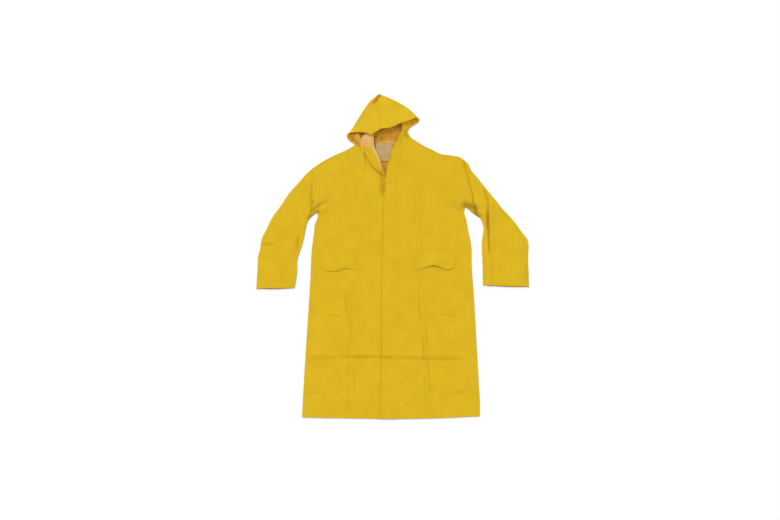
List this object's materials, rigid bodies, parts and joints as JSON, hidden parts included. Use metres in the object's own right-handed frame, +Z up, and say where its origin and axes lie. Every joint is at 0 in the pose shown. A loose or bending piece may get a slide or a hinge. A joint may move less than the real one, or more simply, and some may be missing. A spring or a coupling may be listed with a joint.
{
  "type": "hooded raincoat",
  "caption": "Long hooded raincoat of coated cloth, laid out flat face up, with set-in sleeves, pocket flaps and a turned-out neck corner.",
  "frame": {"origin": "centre of the laid-out coat's outline, on the surface that it lies on", "axes": "+X towards the wearer's left side, +Y from hem to hood, +Z up from the surface"},
  "size_m": [1.2276, 1.4602, 0.023],
  "materials": {
    "coated_cloth": "yellow coated cloth, semi-matte, fine grain",
    "knit_reverse": "pale knitted backing tinted by the coating",
    "label_cloth": "bare off-white woven tape",
    "cord": "braided cream cord"
  },
  "bodies": {
    "root": {"back": "coated_cloth", "front_right": "coated_cloth", "front_left": "coated_cloth", "sleeve_right": "coated_cloth", "sleeve_left": "coated_cloth", "hood_right": "coated_cloth", "hood_left": "coated_cloth", "lapel_right": "knit_reverse", "facing_right": "coated_cloth", "pocket_flap_right": "coated_cloth", "pocket_flap_left": "coated_cloth", "label": "label_cloth", "drawstring_right": "cord", "drawstring_left": "cord"}
  },
  "joints": []
}
